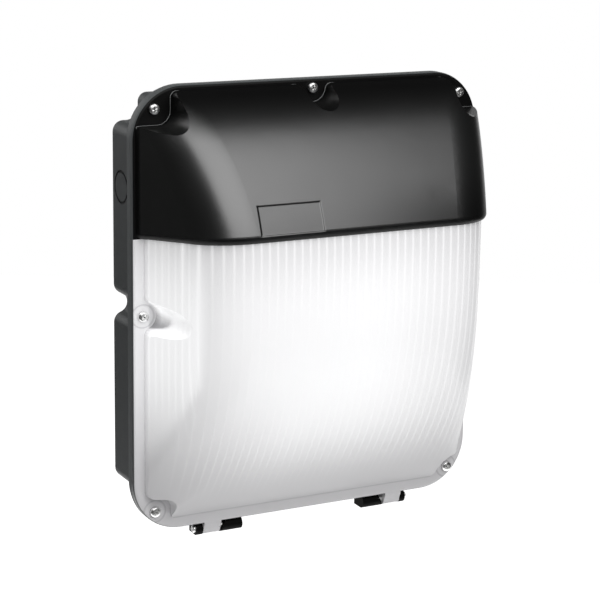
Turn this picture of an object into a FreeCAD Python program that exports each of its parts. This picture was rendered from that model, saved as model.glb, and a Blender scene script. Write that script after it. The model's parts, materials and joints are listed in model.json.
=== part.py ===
import FreeCAD, Part
import math
import os

# Wall pack light, millimetres.  X runs across, Z is up and the front faces -Y.
# The origin is the middle of the rear face, which lies flat on the wall.

Vector = FreeCAD.Vector

# ---- cover outline, shared by housing rim, lens and hood ----
rim_half_width = 142.0
rim_half_height = 165.0
rim_corner_radius = 38.5
rim_roll_radius = 2.4         # rolled front edge of lens and hood
cover_thickness = 4.2

# ---- housing: the moulded box on the wall ----
rim_overhang_side = 4.7       # the rim stands out past the box
rim_overhang_end = 10.3
box_wall = 3.0
floor_thickness = 3.0
joint_depth = 44.6            # depth of the face where housing and cover meet
rim_thickness = 8.6           # of the housing's wide rim, which has a step in its edge
rim_front_tier = 4.3
rim_tier_step = 1.0
rear_edge_radius = 2.0
notch_width = 19.7            # corner notches that give access behind the corner screws
notch_height = 19.7
notch_inner_radius = 9.0
notch_side_radius = 8.0
notch_end_radius = 7.0
scallop_radius = 7.5          # side and top scallops, centred on their cover screws
scallop_lead_radius = 8.0
smallest_round = 1.0          # drawn-in outlines keep at least this corner radius

# ---- cover screws: six round the rim and one at the top middle ----
corner_screw_inset_x = 16.5   # from the rim's edges to the screws
corner_screw_inset_z = 16.0
side_screw_inset = 7.7
top_screw_inset = 6.7
screw_length = 10.0
screw_core_radius = 1.6
screw_head_radius = 4.0
screw_head_height = 2.4
screw_hole_radius = 2.3
recess_width = 1.3
recess_reach = 2.3
recess_depth = 1.4
seal_radius = 3.8
seal_thickness = 0.8
insert_radius = 3.1
insert_bore_radius = 2.0
insert_length = 7.6
insert_setback = 0.2

# ---- lens dome ----
lens_wall = 2.6
lens_land = 8.6               # flat of the rim between its edge and the dome
lens_depth = 74.7             # dome height above the front of the rim
lens_flat_z = 25.0            # the dome falls away below this height
lens_fall_power = 2.35
side_draft = 0.36             # sideways lean per millimetre of depth
lens_draft_inset = 5.6        # the leaning sides start this far inside the rim's edge
dome_corner_radius = 45.0
pocket_inset_x = 28.5         # from the rim's edges to the corner screw pockets' inner sides
pocket_inset_z = 27.2
pocket_draft = 0.12           # the pockets widen towards the front by this slope
pocket_corner_radius = 10.0
pocket_flare_radius = 5.0
side_pocket_radius = 10.3
top_pocket_radius = 10.0
dome_stations = 13

# ---- hood over the top of the lens ----
hood_gap = 0.4                # air between lens and hood
hood_skin = 2.4
hood_rebate = 1.8             # the hood's rim lies in a rebate in the lens rim
hood_skirt = 1.6
step_gap = 0.1
hood_rise = 8.8               # the hood's crest stands this far in front of the lens
hood_peak_z = 40.0
hood_top_inset = 3.0
hood_face_power = 1.5
hood_round_power = 0.65
hood_draft_inset = 2.4
hood_block_inset = 3.6
hood_start_drop = 12.0        # the hood's surface is drawn from this far below its cut edge
hood_edge_z = 56.6            # height of the lower edge at the rim
hood_edge_rise = 0.083        # the edge climbs this much per millimetre of depth
hood_lip_radius = 5.0         # the lower edge turns under to the lens
panel_centre_x = -53.5        # bare recessed panel in the hood's face
panel_width = 49.0
panel_height = 19.5
panel_lift = 11.9             # above the hood's lower edge
panel_recess = 0.5

# ---- hinges along the bottom edge ----
hinge_setback = 2.6           # pin axis behind the joint
hinge_drop = 5.3              # pin axis below the rim's bottom edge
pin_radius = 2.0
pin_head_radius = 2.9
pin_head_length = 2.2
pin_head_round = 0.7
pin_end_cover = 3.0           # the inner knuckle closes the pin's bore over this length
knuckle_gap = 0.3
bracket_bore_clearance = 0.03
knuckle_bore_clearance = 0.06
bracket_knuckle_radius = 4.8
cover_knuckle_radius = 4.6
cover_knuckle_start = 71.0    # from the middle of the light
cover_knuckle_length = 13.9
outer_knuckle_length = 4.8
inner_knuckle_length = 18.3
inner_knuckle_slant = 5.0
cheek_front_share = 0.9       # the cheeks meet the knuckles at these shares of their radius
cheek_foot_share = 0.99
web_back_share = 0.82
bracket_leg_thickness = 4.0
bracket_leg_height = 8.0
bracket_screw_radius = 1.4
bracket_screw_head_radius = 2.6
bracket_screw_head_height = 1.6
bracket_screw_inset = 8.0
bracket_screw_length = 6.0

# ---- gasket between housing and cover ----
gasket_width = 3.2
gasket_height = 2.4
gasket_side_clearance = 0.2
gasket_from_cavity = 1.5

# ---- gear tray and light source ----
tray_sheet = 1.0
tray_front_depth = 34.0
tray_fold = 8.0
tray_margin = 4.0
tray_boss_inset_x = 29.3      # from the box's sides
tray_boss_inset_z = 42.7
tray_boss_radius = 5.0
small_screw_radius = 1.5
small_screw_head_radius = 3.0
small_screw_head_height = 1.8
small_screw_length = 7.0
small_screw_fit = 0.05
bore_end_gap = 0.3            # blind bores run this far past their screws
screw_clearance = 0.2
board_half_width = 92.0
board_half_height = 62.0
board_thickness = 1.6
board_centre_z = 0.0
board_corner_radius = 4.0
board_screw_inset = 6.0
board_screw_length = 4.0
connector_half_width = 6.0
connector_height = 6.0
connector_length = 9.0
connector_inset = 2.0
chip_size = 3.4
chip_height = 0.8
chip_columns = 10
chip_rows = 6
chip_pitch_x = 18.0
chip_pitch_z = 19.0
lead_hole_radius = 6.0
lead_hole_lift = 2.0          # the leads cross the tray this far above their lowest bend

# ---- driver, terminal block and leads on the housing floor ----
driver_length = 150.0
driver_width = 42.0
driver_height = 24.0
driver_centre_z = -62.0
driver_foot = 9.0
driver_foot_half_width = 9.0
driver_boss_radius = 4.0
driver_screw_length = 5.4
driver_lift = 3.0
driver_foot_thickness = 1.2
driver_edge_radius = 2.0
terminal_width = 34.0
terminal_depth = 17.0
terminal_height = 18.0
terminal_centre_x = -62.0
terminal_centre_z = 20.0
terminal_lift = 3.0
terminal_ways = 3
terminal_way_radius = 2.2
terminal_screw_radius = 1.9
terminal_screw_depth = 5.0
terminal_slot_width = 0.65
terminal_slot_depth = 1.3
earth_stud_inset = 37.3       # from the box's left side
earth_stud_z = 20.0
earth_boss_radius = 5.0
earth_boss_height = 8.0
earth_ring_thickness = 1.2
lead_radius = 1.2
lead_depth = 14.0
lead_spacing = 3.6
lead_drop = 30.0
lead_shift = 16.0
lead_standoff = 22.0
output_drop = 18.0
earth_drop = 18.0
earth_tab_reach = 9.0
earth_tab_gap = 1.0
bend_share = 0.45             # share of the shorter run that half a lead's bend takes

# ---- wall fixings and cable entry ----
wall_hole_x = 85.0
wall_hole_z = 128.0
wall_hole_radius = 2.75
wall_hole_pad_radius = 8.0
wall_hole_pad_height = 2.0
wall_seal_radius = 6.5
wall_seal_thickness = 1.5
entry_z = 62.0
entry_radius = 10.25
entry_collar_radius = 14.0
entry_collar_height = 3.0
grommet_wall = 2.0
grommet_lip = 2.2
grommet_bore_radius = 5.0
knockout_radius = 11.0
knockout_depth = 17.0
knockout_z = 89.0
knockout_groove = 0.9
knockout_groove_depth = 0.8

# ---- worked out from the sizes above ----
flange_back = joint_depth - rim_thickness
rim_tier_depth = joint_depth - rim_front_tier
hinge_depth = joint_depth - hinge_setback
box_half_width = rim_half_width - rim_overhang_side
box_half_height = rim_half_height - rim_overhang_end
corner_screw_x = rim_half_width - corner_screw_inset_x
corner_screw_z = rim_half_height - corner_screw_inset_z
side_screw_x = rim_half_width - side_screw_inset
top_screw_z = rim_half_height - top_screw_inset
lens_half_width = rim_half_width - lens_land
lens_half_height = rim_half_height - lens_land
lens_draft_start = rim_half_width - lens_draft_inset
pocket_x = rim_half_width - pocket_inset_x
pocket_z = rim_half_height - pocket_inset_z
hood_peak_depth = lens_depth + hood_rise
hood_top_z = rim_half_height - hood_top_inset
hood_draft_start = rim_half_width - hood_draft_inset
hood_block_top = rim_half_height - hood_block_inset
hood_start_z = hood_edge_z - hood_start_drop
cover_knuckle_end = cover_knuckle_start + cover_knuckle_length
outer_knuckle_start = cover_knuckle_end + knuckle_gap
outer_knuckle_end = outer_knuckle_start + outer_knuckle_length
inner_knuckle_end = cover_knuckle_start - knuckle_gap
inner_knuckle_start = inner_knuckle_end - inner_knuckle_length
earth_stud_x = earth_stud_inset - box_half_width
tray_boss_x = box_half_width - tray_boss_inset_x
tray_boss_z = box_half_height - tray_boss_inset_z
cover_front = joint_depth + cover_thickness
hinge_z = -rim_half_height - hinge_drop
connector_bottom = board_centre_z - board_half_height + connector_inset
lead_turn_z = driver_centre_z - driver_width / 2 - output_drop
lead_hole_z = lead_turn_z + lead_hole_lift
earth_tab_z = earth_stud_z - earth_tab_reach
dome_root = 2 * cover_thickness     # dome sections start this far behind the rim's front
dome_corner_fit = 1.4         # largest corner radius for a section's full height
hood_wall = hood_gap + hood_skin
dome_clear = hood_peak_depth + hood_wall     # cutting tools for the dome reach this far past the rim
leg_middle_z = -rim_half_height + bracket_leg_height / 2
pin_end_x = inner_knuckle_start + pin_end_cover
far_reach = 2 * hood_peak_depth
seat_depth = cover_front + seal_thickness
driver_seat_depth = floor_thickness + driver_lift
terminal_seat_depth = floor_thickness + terminal_lift
through = 1.0                 # overshoot of cutting tools past a face
same = 0.01                   # lengths closer than this count as equal
draft_angle = math.atan(side_draft)


def screw_places():
    """Names and (x, z) places of the seven cover screws."""
    return {
        "top_left": (-corner_screw_x, corner_screw_z),
        "top_middle": (0.0, top_screw_z),
        "top_right": (corner_screw_x, corner_screw_z),
        "side_left": (-side_screw_x, 0.0),
        "side_right": (side_screw_x, 0.0),
        "bottom_left": (-corner_screw_x, -corner_screw_z),
        "bottom_right": (corner_screw_x, -corner_screw_z),
    }


def block(x_from, x_to, depth_from, depth_to, z_from, z_to):
    """Box between two X values, two depths in front of the wall and two heights."""
    corner = Vector(x_from, -depth_to, z_from)
    return Part.makeBox(x_to - x_from, depth_to - depth_from, z_to - z_from, corner)


def rod(radius, x, z, depth_from, depth_to):
    """Cylinder along the depth direction."""
    return Part.makeCylinder(radius, depth_to - depth_from, Vector(x, -depth_from, z), Vector(0, -1, 0))


def cross_rod(radius, x_from, x_to, depth, z):
    """Cylinder along X."""
    return Part.makeCylinder(radius, x_to - x_from, Vector(x_from, -depth, z), Vector(1, 0, 0))


def fuse_all(first, others):
    return first.multiFuse(others).removeSplitter()


def depth_edges(solid, wanted):
    """Straight edges that run in the depth direction and whose (x, z) is wanted."""
    found = []
    for edge in solid.Edges:
        if not isinstance(edge.Curve, Part.Line):
            continue
        start, end = edge.Vertexes[0].Point, edge.Vertexes[-1].Point
        along_depth = abs(start.x - end.x) < same and abs(start.z - end.z) < same
        if along_depth and wanted(start.x, start.z):
            found.append(edge)
    return found


def face_edges(solid, depth):
    """Edges that lie wholly at one depth."""
    found = []
    for edge in solid.Edges:
        box = edge.BoundBox
        if abs(box.YMin + depth) < same and abs(box.YMax + depth) < same:
            found.append(edge)
    return found


def rounded_slab(half_width, half_height, radius, depth_from, depth_to):
    """Flat slab with four round corners."""
    slab = block(-half_width, half_width, depth_from, depth_to, -half_height, half_height)
    return slab.makeFillet(radius, depth_edges(slab, lambda x, z: True))


# ---------------------------------------------------------------- housing

def box_form(inset, depth_from, depth_to):
    """The housing's outline, drawn in by an inset: corner notches and screw scallops."""
    half_width = box_half_width - inset
    half_height = box_half_height - inset
    form = block(-half_width, half_width, depth_from, depth_to, -half_height, half_height)
    notch_x = box_half_width - notch_width - inset
    notch_z = box_half_height - notch_height - inset
    cutters = []
    for side in (-1, 1):
        for end in (-1, 1):
            x_pair = sorted((side * notch_x, side * (half_width + through)))
            z_pair = sorted((end * notch_z, end * (half_height + through)))
            cutters.append(block(*x_pair, depth_from, depth_to, *z_pair))
        cutters.append(rod(scallop_radius + inset, side * side_screw_x, 0, depth_from, depth_to))
    cutters.append(rod(scallop_radius + inset, 0, top_screw_z, depth_from, depth_to))
    form = form.cut(Part.makeCompound(cutters))

    def near(a, b):
        return abs(abs(a) - b) < same

    side_round = max(smallest_round, notch_side_radius - inset)
    end_round = max(smallest_round, notch_end_radius - inset)
    lead_round = max(smallest_round, scallop_lead_radius - inset)
    rounds = [
        (notch_inner_radius + inset, lambda x, z: near(x, notch_x) and near(z, notch_z)),
        (side_round, lambda x, z: near(x, half_width) and near(z, notch_z)),
        (end_round, lambda x, z: near(x, notch_x) and near(z, half_height)),
        (lead_round, lambda x, z: near(x, half_width) and abs(z) < notch_z - through),
        (lead_round, lambda x, z: near(z, half_height) and abs(x) < notch_x - through),
    ]
    for radius, wanted in rounds:
        form = form.makeFillet(radius, depth_edges(form, wanted))
    return form


def rim_slab(inset, depth_from, depth_to):
    """Slab with the cover's outline, drawn in by an inset."""
    return rounded_slab(rim_half_width - inset, rim_half_height - inset,
                        rim_corner_radius - inset, depth_from, depth_to)


def tray_boss_places():
    return [(x, z) for x in (-tray_boss_x, tray_boss_x) for z in (-tray_boss_z, tray_boss_z)]


def wall_hole_places():
    return [(x, z) for x in (-wall_hole_x, wall_hole_x) for z in (-wall_hole_z, wall_hole_z)]


def driver_screw_places():
    reach = driver_length / 2 + driver_foot / 2
    return [(-reach, driver_centre_z), (reach, driver_centre_z)]


def gasket_band(clearance, depth_from, depth_to):
    """Ring that follows the cavity's outline, between the cavity and the cover screws."""
    inner_inset = box_wall - gasket_from_cavity + clearance
    outer_inset = box_wall - gasket_from_cavity - gasket_width - clearance
    outer_form = box_form(outer_inset, depth_from, depth_to)
    return outer_form.cut(box_form(inner_inset, depth_from - through, depth_to + through))


def housing_outside():
    """Box, stepped rim and rounded rear edges, before anything is hollowed out."""
    box = box_form(0, 0, flange_back + through)
    box = box.makeFillet(rear_edge_radius, face_edges(box, 0))
    rear_tier = rim_slab(rim_tier_step, flange_back, rim_tier_depth)
    rear_tier = rear_tier.makeFillet(rim_tier_step, face_edges(rear_tier, flange_back))
    front_tier = rim_slab(0, rim_tier_depth, joint_depth)
    return fuse_all(box, [rear_tier, front_tier])


def housing_bosses():
    """Bosses, pads and the collar that stand on the floor inside."""
    floor = floor_thickness - through
    bosses = []
    for x, z in tray_boss_places():
        bosses.append(rod(tray_boss_radius, x, z, floor, tray_front_depth - tray_sheet))
    for x, z in wall_hole_places():
        bosses.append(rod(wall_hole_pad_radius, x, z, floor, floor_thickness + wall_hole_pad_height))
    for x, z in driver_screw_places():
        bosses.append(rod(driver_boss_radius, x, z, floor, driver_seat_depth))
    bosses.append(rod(entry_collar_radius, 0, entry_z, floor, floor_thickness + entry_collar_height))
    bosses.append(rod(earth_boss_radius, earth_stud_x, earth_stud_z, floor,
                      floor_thickness + earth_boss_height))
    bosses.append(block(terminal_centre_x - terminal_width / 2, terminal_centre_x + terminal_width / 2,
                        floor, terminal_seat_depth,
                        terminal_centre_z - terminal_depth / 2, terminal_centre_z + terminal_depth / 2))
    return bosses


def screw_bore(x, z, seat, length):
    """Blind bore for a small screw whose head seats at a depth."""
    return rod(small_screw_radius + small_screw_fit, x, z, seat - length - bore_end_gap, seat + through)


def knockout_grooves():
    """Ring grooves that mark the thin discs in both side walls."""
    grooves = []
    for side in (-1, 1):
        x_outer = side * (box_half_width + through)
        x_inner = side * (box_half_width - knockout_groove_depth)
        x_pair = sorted((x_outer, x_inner))
        disc = cross_rod(knockout_radius + knockout_groove, *x_pair, knockout_depth, knockout_z)
        grooves.append(disc.cut(cross_rod(knockout_radius, *x_pair, knockout_depth, knockout_z)))
    return grooves


def make_housing():
    shell = housing_outside()
    cavity = box_form(box_wall, floor_thickness, joint_depth + through)
    shell = shell.cut(cavity)
    shell = fuse_all(shell, housing_bosses())
    cutters = [gasket_band(gasket_side_clearance, joint_depth - gasket_height, joint_depth + through)]
    for x, z in screw_places().values():
        cutters.append(rod(insert_radius, x, z, flange_back - through, joint_depth + through))
    for x, z in tray_boss_places():
        cutters.append(screw_bore(x, z, tray_front_depth - tray_sheet, small_screw_length))
    for x, z in driver_screw_places():
        cutters.append(screw_bore(x, z, driver_seat_depth, driver_screw_length - driver_foot_thickness))
    for x, z in wall_hole_places():
        cutters.append(rod(wall_hole_radius, x, z, -through, joint_depth))
    cutters.append(rod(entry_radius, 0, entry_z, -through, joint_depth))
    cutters.append(rod(entry_radius + grommet_lip, 0, entry_z, -through, grommet_lip))
    cutters.append(rod(small_screw_radius + small_screw_fit, earth_stud_x, earth_stud_z,
                       floor_thickness, joint_depth))
    for x, z in bracket_screw_places():
        cutters.append(rod(bracket_screw_radius + small_screw_fit, x, z, flange_back - through,
                           flange_back + bracket_screw_length))
    cutters += knockout_grooves()
    return shell.cut(Part.makeCompound(cutters))


def make_cover_gasket():
    return gasket_band(0, joint_depth - gasket_height, joint_depth)


def make_screw_inserts():
    """Brass inserts pressed into the rim, one behind each cover screw."""
    front = joint_depth - insert_setback
    sleeves = []
    for x, z in screw_places().values():
        sleeve = rod(insert_radius, x, z, front - insert_length, front)
        sleeves.append(sleeve.cut(rod(insert_bore_radius, x, z, front - insert_length - through,
                                      front + through)))
    return Part.makeCompound(sleeves)


# ---------------------------------------------------------------- hinges

def knuckle_spans():
    """Spans along X, from the middle of the light outwards, of the right-hand hinge."""
    return {
        "inner": (inner_knuckle_start, inner_knuckle_end),
        "cover": (cover_knuckle_start, cover_knuckle_end),
        "outer": (outer_knuckle_start, outer_knuckle_end),
    }


def side_span(side, span):
    """The span mirrored to one side, lowest X first."""
    return sorted((side * span[0], side * span[1]))


def yz_prism(points, x_from, x_to):
    """Prism along X through (depth, z) points."""
    corners = [Vector(x_from, -depth, z) for depth, z in points]
    outline = Part.makePolygon(corners + corners[:1])
    return Part.Face(outline).extrude(Vector(x_to - x_from, 0, 0))


def bracket_screw_places():
    places = []
    for side in (-1, 1):
        for along in (inner_knuckle_start, outer_knuckle_end):
            inward = 1 if along == inner_knuckle_start else -1
            places.append((side * (along + inward * bracket_screw_inset), leg_middle_z))
    return places


def bracket_cheek(low, high):
    """One knuckle of the bracket and the sloping cheek that carries it."""
    outline = [(flange_back - bracket_leg_thickness, -rim_half_height),
               (joint_depth - rim_tier_step, -rim_half_height),
               (hinge_depth + bracket_knuckle_radius * cheek_front_share, hinge_z),
               (hinge_depth, hinge_z - bracket_knuckle_radius * cheek_foot_share),
               (flange_back - bracket_leg_thickness, hinge_z - cover_knuckle_radius)]
    return [yz_prism(outline, low, high), cross_rod(bracket_knuckle_radius, low, high, hinge_depth, hinge_z)]


def bracket_slant(side):
    """Wedge that slants the end of the inner knuckle next to the cover's knuckle."""
    tip = side * inner_knuckle_end
    past = tip + side * through
    floor = hinge_z - bracket_knuckle_radius
    front = -(hinge_depth - cover_knuckle_radius - knuckle_gap)
    outline = [Vector(past, front, floor), Vector(tip, front, floor),
               Vector(tip - side * inner_knuckle_slant, front, -rim_half_height),
               Vector(past, front, -rim_half_height)]
    return Part.Face(Part.makePolygon(outline + outline[:1])).extrude(Vector(0, -far_reach, 0))


def make_hinge_bracket(side):
    """Yoke under the rim: two knuckles on a bar, with a leg screwed behind the rim."""
    start, end = side_span(side, (inner_knuckle_start, outer_knuckle_end))
    leg_back = flange_back - bracket_leg_thickness
    bar_front = hinge_depth - cover_knuckle_radius - knuckle_gap
    bar = block(start, end, leg_back, bar_front, hinge_z - cover_knuckle_radius, -rim_half_height)
    pieces = [block(start, end, leg_back, flange_back, -rim_half_height - through,
                    -rim_half_height + bracket_leg_height)]
    for name in ("inner", "outer"):
        pieces += bracket_cheek(*side_span(side, knuckle_spans()[name]))
    bore_span = side_span(side, (pin_end_x, rim_half_width))
    holes = [cross_rod(pin_radius + bracket_bore_clearance, *bore_span, hinge_depth, hinge_z)]
    for x, z in bracket_screw_places():
        holes.append(rod(bracket_screw_radius + small_screw_fit, x, z, 0, joint_depth))
    return fuse_all(bar, pieces).cut(bracket_slant(side)).cut(Part.makeCompound(holes))


def make_hinge_pin(side):
    """Headed pin pushed in from the outer end of the bracket."""
    shank = cross_rod(pin_radius, *side_span(side, (pin_end_x, outer_knuckle_end + through)),
                      hinge_depth, hinge_z)
    low, high = side_span(side, (outer_knuckle_end, outer_knuckle_end + pin_head_length))
    head = cross_rod(pin_head_radius, low, high, hinge_depth, hinge_z)
    outer_x = side * (outer_knuckle_end + pin_head_length)
    outer_edges = [edge for edge in head.Edges if abs(edge.BoundBox.Center.x - outer_x) < same]
    head = head.makeFillet(pin_head_round, outer_edges)
    return fuse_all(head, [shank])


def pan_screw(x, z, seat, length):
    """Small plain screw whose head seats at a depth and points forward."""
    top = seat + small_screw_head_height
    head = rod(small_screw_head_radius, x, z, seat, top)
    head = head.makeFillet(small_screw_head_height / 2, face_edges(head, top))
    shank = rod(small_screw_radius, x, z, seat - length, seat + small_screw_head_height / 2)
    return fuse_all(head, [shank])


def small_screws(places, seat, length):
    return Part.makeCompound([pan_screw(x, z, seat, length) for x, z in places])


def make_bracket_screws():
    """Screws that hold both hinge brackets, driven from behind the rim."""
    screws = []
    seat = flange_back - bracket_leg_thickness
    for x, z in bracket_screw_places():
        head = rod(bracket_screw_head_radius, x, z, seat - bracket_screw_head_height, seat)
        head = head.makeFillet(bracket_screw_head_height / 2,
                               face_edges(head, seat - bracket_screw_head_height))
        screws.append(fuse_all(head, [rod(bracket_screw_radius, x, z, seat - through / 2,
                                          flange_back + bracket_screw_length - through)]))
    return Part.makeCompound(screws)


def cover_knuckles():
    """Knuckles that hang from the lens's rim, with the web that joins them to it."""
    pieces = []
    rim_bottom = -rim_half_height
    for side in (-1, 1):
        low, high = side_span(side, knuckle_spans()["cover"])
        web = [(joint_depth + knuckle_gap, rim_bottom + cover_thickness),
               (cover_front - knuckle_gap, rim_bottom + cover_thickness),
               (cover_front - knuckle_gap, rim_bottom - through),
               (hinge_depth + cover_knuckle_radius, hinge_z),
               (hinge_depth, hinge_z),
               (joint_depth + knuckle_gap, hinge_z + cover_knuckle_radius * web_back_share)]
        pieces.append(yz_prism(web, low, high))
        pieces.append(cross_rod(cover_knuckle_radius, low, high, hinge_depth, hinge_z))
    return pieces


def knuckle_bores():
    radius = pin_radius + knuckle_bore_clearance
    return [cross_rod(radius, *side_span(side, (inner_knuckle_end, outer_knuckle_start)),
                      hinge_depth, hinge_z) for side in (-1, 1)]


# ---------------------------------------------------------------- dome sections

def lens_height(z, inset):
    """Depth of the lens dome in front of the rim at a height, drawn in by an inset."""
    depth = lens_depth - inset
    if z < lens_flat_z:
        share = (lens_flat_z - z) / (lens_flat_z + lens_half_height - inset)
        depth = depth * (1 - share ** lens_fall_power)
    if z > lens_flat_z:
        depth = min(depth, hood_height(z, inset + hood_gap + hood_skin))
    return depth


def hood_height(z, inset):
    """Depth of the hood's face in front of the rim at a height, drawn in by an inset."""
    share = (max(z, hood_peak_z) - hood_peak_z) / (hood_top_z - inset - hood_peak_z)
    reach = max(0.0, 1 - share ** hood_face_power)
    return (hood_peak_depth - inset) * reach ** hood_round_power


def dome_section(z, height, draft_start, inset):
    """Outline across the dome at one height: side, round corner, face, corner, side."""
    half = draft_start - inset / math.cos(draft_angle) - side_draft * height
    lean = Vector(math.sin(draft_angle), -math.cos(draft_angle), 0)
    radius = min(dome_corner_radius - inset, (height + dome_root) * dome_corner_fit)
    run = radius * math.tan((math.pi / 2 - draft_angle) / 2)
    corner = Vector(half, height, 0)
    side_end = corner + lean * run
    face_end = Vector(half - run, height, 0)
    middle_angle = (math.pi / 2 + draft_angle) / 2
    arc_middle = Vector(half - run + radius * math.cos(middle_angle),
                        height - radius + radius * math.sin(middle_angle), 0)
    base = Vector(half + side_draft * (height + dome_root), -dome_root, 0)

    def place(point, side):
        return Vector(side * point.x, -(cover_front + point.y), z)

    edges = [Part.makeLine(place(base, -1), place(side_end, -1)),
             Part.Arc(place(side_end, -1), place(arc_middle, -1), place(face_end, -1)).toShape(),
             Part.makeLine(place(face_end, -1), place(face_end, 1)),
             Part.Arc(place(face_end, 1), place(arc_middle, 1), place(side_end, 1)).toShape(),
             Part.makeLine(place(side_end, 1), place(base, 1)),
             Part.makeLine(place(base, 1), place(base, -1))]
    return Part.Wire(edges)


def dome_loft(height_at, draft_start, inset, z_from, z_to):
    """Smooth solid through dome sections, closer together towards the two ends."""
    sections = []
    for index in range(dome_stations):
        share = (1 - math.cos(math.pi * index / (dome_stations - 1))) / 2
        z = z_from + share * (z_to - z_from)
        sections.append(dome_section(z, height_at(z, inset), draft_start, inset))
    return Part.makeLoft(sections, True, False)


def pocketed_slab(half_width, bottom, top, low_grow, top_grow, depth):
    """Thin slab behind a dome's outline, with pockets where the cover screws stand."""
    front = depth + through
    form = block(-half_width, half_width, depth, front, bottom, top)
    cutters = []
    far = rim_half_height

    def inner_corner(x, z):
        return abs(x) < far - through and abs(z) < far - through

    for end, grow in ((-1, low_grow), (1, top_grow)):
        for side in (-1, 1):
            x_pair = sorted((side * (pocket_x - grow), side * far))
            z_pair = sorted((end * (pocket_z - grow), end * far))
            bite = block(*x_pair, depth, front, *z_pair)
            cutters.append(bite.makeFillet(pocket_corner_radius + grow, depth_edges(bite, inner_corner)))
    for side in (-1, 1):
        cutters.append(rod(side_pocket_radius + low_grow, side * side_screw_x, 0, depth, front))
    reach = top_pocket_radius + top_grow
    cutters.append(rod(reach, 0, top_screw_z, depth, front))
    cutters.append(block(-reach, reach, depth, front, top_screw_z, far))
    form = form.cut(Part.makeCompound(cutters))

    def on_outline(x, z):
        return abs(abs(x) - half_width) < same or abs(z - top) < same or abs(z - bottom) < same

    return form.makeFillet(pocket_flare_radius, depth_edges(form, on_outline))


def pocketed_block(half_width, bottom, top, low_grow, top_grow, depth_from, depth_to):
    """Block behind a dome's outline whose pockets widen towards the front."""
    outlines = []
    for depth in (depth_from, depth_to):
        lean = pocket_draft * (depth - cover_front)
        slab = pocketed_slab(half_width, bottom, top, low_grow + lean, top_grow + lean, depth)
        outlines.append(Part.Wire(Part.__sortEdges__(face_edges(slab, depth))))
    return Part.makeLoft(outlines, True, True)


# ---------------------------------------------------------------- lens

def rolled_rim(inset, depth_from, depth_to, roll):
    """Rim slab whose front edge is rolled over."""
    slab = rim_slab(inset, depth_from, depth_to)
    return slab.makeFillet(roll, face_edges(slab, depth_to))


def above_hood_edge():
    """Everything above the sloping plane of the hood's lower edge."""
    back = joint_depth - through
    edge_at_back = hood_edge_z + (back - cover_front) * hood_edge_rise
    edge_at_front = hood_edge_z + dome_clear * hood_edge_rise
    outline = [(back, edge_at_back), (cover_front + dome_clear, edge_at_front),
               (cover_front + dome_clear, rim_half_height + through), (back, rim_half_height + through)]
    return yz_prism(outline, -rim_half_width - through, rim_half_width + through)


def lens_body(grow, depth_from):
    """Solid form of the lens dome, grown outwards or drawn in."""
    dome = dome_loft(lens_height, lens_draft_start, -grow, -lens_half_height, lens_half_height)
    walls = pocketed_block(lens_half_width + grow, -lens_half_height - grow, lens_half_height + grow,
                           -grow, hood_wall - grow, depth_from, cover_front + dome_clear)
    return dome.common(walls)


def screw_holes(depth_from, lowest):
    """Clearance holes for the cover screws above a height."""
    return [rod(screw_hole_radius, x, z, depth_from, cover_front + through)
            for x, z in screw_places().values() if z > lowest]


def make_lens():
    rim = rolled_rim(0, joint_depth, cover_front, rim_roll_radius)
    kept_step = rim_slab(hood_skirt + step_gap, joint_depth - through, cover_front - hood_rebate)
    rim = rim.cut(above_hood_edge().cut(kept_step))
    lens = fuse_all(rim, [lens_body(0, joint_depth)] + cover_knuckles())
    hollow = lens_body(-lens_wall, joint_depth - through)
    cutters = [hollow] + knuckle_bores() + screw_holes(joint_depth - through, -rim_half_height)
    for cutter in cutters:
        lens = lens.cut(cutter)
    return lens


# ---------------------------------------------------------------- hood

def hood_lower_edges(solid):
    """Outer edges of the hood's sloping underside, in front of the rim."""
    found = []
    for edge in solid.Edges:
        middle = edge.valueAt((edge.FirstParameter + edge.LastParameter) / 2)
        forward = -middle.y - cover_front
        on_plane = abs(middle.z - hood_edge_z - hood_edge_rise * forward) < same
        if on_plane and forward > through:
            found.append(edge)
    return found


def hood_outside():
    """Outer form of the hood above its lower edge, with the edge rounded under."""
    dome = dome_loft(hood_height, hood_draft_start, 0, hood_start_z, hood_block_top)
    dome = dome.common(above_hood_edge())
    dome = dome.makeFillet(hood_lip_radius, hood_lower_edges(dome))
    walls = pocketed_block(rim_half_width, lens_flat_z, hood_block_top, 0, 0,
                           joint_depth + knuckle_gap, cover_front + dome_clear)
    rim = rolled_rim(0, joint_depth + knuckle_gap, cover_front, rim_roll_radius)
    return rim.common(above_hood_edge()).fuse(dome.common(walls))


def hood_panel():
    """Tool for the shallow bare panel in the hood's face."""
    bottom = hood_edge_z + panel_lift
    prism = block(panel_centre_x - panel_width / 2, panel_centre_x + panel_width / 2,
                  cover_front, cover_front + dome_clear, bottom, bottom + panel_height)
    return prism.cut(dome_loft(hood_height, hood_draft_start, panel_recess, hood_start_z, hood_block_top))


def make_hood():
    hood = hood_outside()
    cutters = [lens_body(hood_gap, joint_depth - through)]
    cutters.append(rim_slab(hood_skirt, joint_depth - through, cover_front - hood_rebate))
    cutters.append(hood_panel())
    cutters += screw_holes(joint_depth, hood_edge_z)
    for cutter in cutters:
        hood = hood.cut(cutter)
    return hood


# ---------------------------------------------------------------- cover screws

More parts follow.
